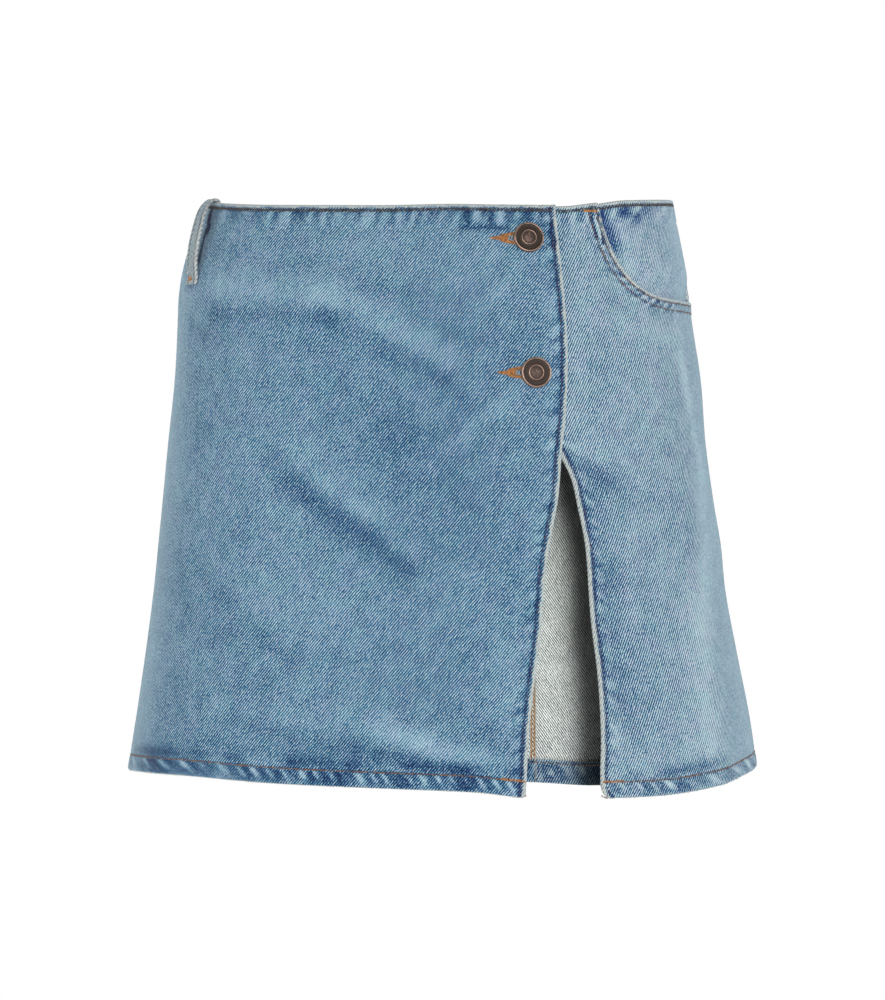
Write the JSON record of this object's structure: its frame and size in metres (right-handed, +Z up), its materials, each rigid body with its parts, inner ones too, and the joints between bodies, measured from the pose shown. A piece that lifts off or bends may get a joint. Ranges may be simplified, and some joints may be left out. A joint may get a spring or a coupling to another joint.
{
  "type": "denim wrap skirt",
  "caption": "Short low-rise wrap skirt in washed blue denim, filled out as worn, with a buttoned lap, a slit, a scoop pocket and belt loops",
  "frame": {"origin": "the middle of the waist opening, at the height of the waist edge at the sides, where the wearer's waist holds the skirt up", "axes": "+Z is up and out of the waist, +X is the wearer's left, and the front of the skirt faces -Y"},
  "size_m": [0.4202, 0.2526, 0.4019],
  "materials": {
    "outer_denim": "matte washed twill",
    "pale_denim": "matte washed twill",
    "loop_denim": "matte, worn pale",
    "aged_copper": "darkened copper plating, satin"
  },
  "bodies": {
    "root": {"front_wrap_panel": "outer_denim", "front_under_panel": "pale_denim", "pocket_facing": "pale_denim", "back_right_panel": "outer_denim", "back_centre_panel": "outer_denim", "back_left_panel": "pale_denim", "belt_loop_right": "loop_denim", "belt_loop_left": "loop_denim", "button_upper": "aged_copper", "tack_upper": "aged_copper", "button_lower": "aged_copper", "tack_lower": "aged_copper"}
  },
  "joints": []
}
